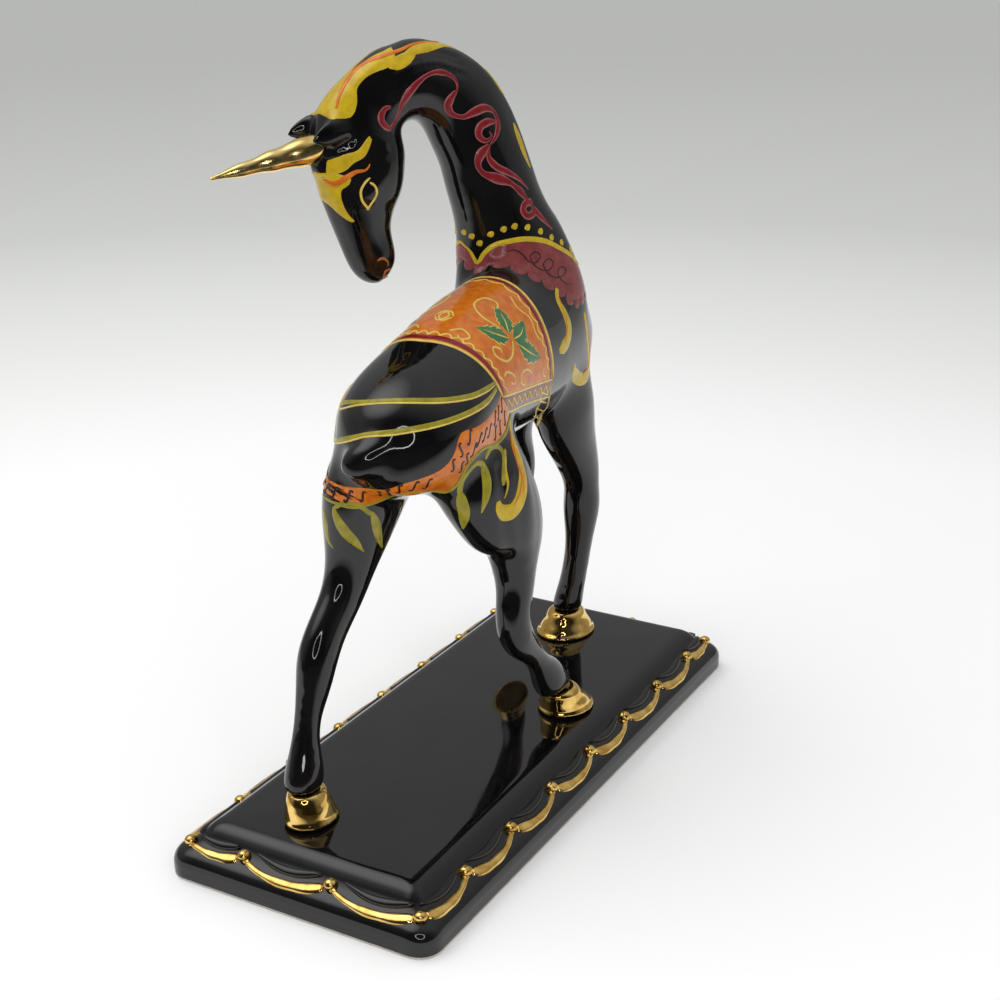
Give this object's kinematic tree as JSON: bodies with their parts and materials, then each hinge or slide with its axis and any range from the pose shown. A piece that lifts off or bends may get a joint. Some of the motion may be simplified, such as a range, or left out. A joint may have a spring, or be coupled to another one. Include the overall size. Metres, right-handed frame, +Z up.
{
  "type": "unicorn figurine",
  "caption": "Walking unicorn in glossy black ceramic with a spiral gilded horn, gilded hooves and bright painted trappings, on an oblong black plinth edged with a gilded garland.",
  "frame": {"origin": "centre of the plinth's flat underside, on the surface that it stands on", "axes": "+X the way that the unicorn walks, along the plinth's length; +Y to the unicorn's left; +Z up"},
  "size_m": [0.18, 0.0902, 0.1969],
  "materials": {
    "black_glaze": "gloss",
    "plinth_glaze": "gloss",
    "gilding": "gold lustre",
    "gilded_relief": "gold lustre"
  },
  "bodies": {
    "figurine": {"forelock": "black_glaze", "garland_front_1": "gilded_relief", "garland_front_2": "gilded_relief", "garland_front_3": "gilded_relief", "garland_left_1": "gilded_relief", "garland_left_2": "gilded_relief", "garland_left_3": "gilded_relief", "garland_left_4": "gilded_relief", "garland_left_5": "gilded_relief", "garland_left_6": "gilded_relief", "garland_left_7": "gilded_relief", "garland_left_8": "gilded_relief", "garland_rear_1": "gilded_relief", "garland_rear_2": "gilded_relief", "garland_rear_3": "gilded_relief", "garland_right_1": "gilded_relief", "garland_right_2": "gilded_relief", "garland_right_3": "gilded_relief", "garland_right_4": "gilded_relief", "garland_right_5": "gilded_relief", "garland_right_6": "gilded_relief", "garland_right_7": "gilded_relief", "garland_right_8": "gilded_relief", "head": "black_glaze", "horn": "gilding", "left_ear": "black_glaze", "left_fore_hoof": "gilding", "left_fore_leg": "black_glaze", "left_hind_hoof": "gilding", "left_hind_leg": "black_glaze", "mane": "black_glaze", "neck": "black_glaze", "plinth": "plinth_glaze", "right_ear": "black_glaze", "right_fore_hoof": "gilding", "right_fore_leg": "black_glaze", "right_hind_hoof": "gilding", "right_hind_leg": "black_glaze", "tail": "black_glaze", "trunk": "black_glaze"}
  },
  "joints": []
}
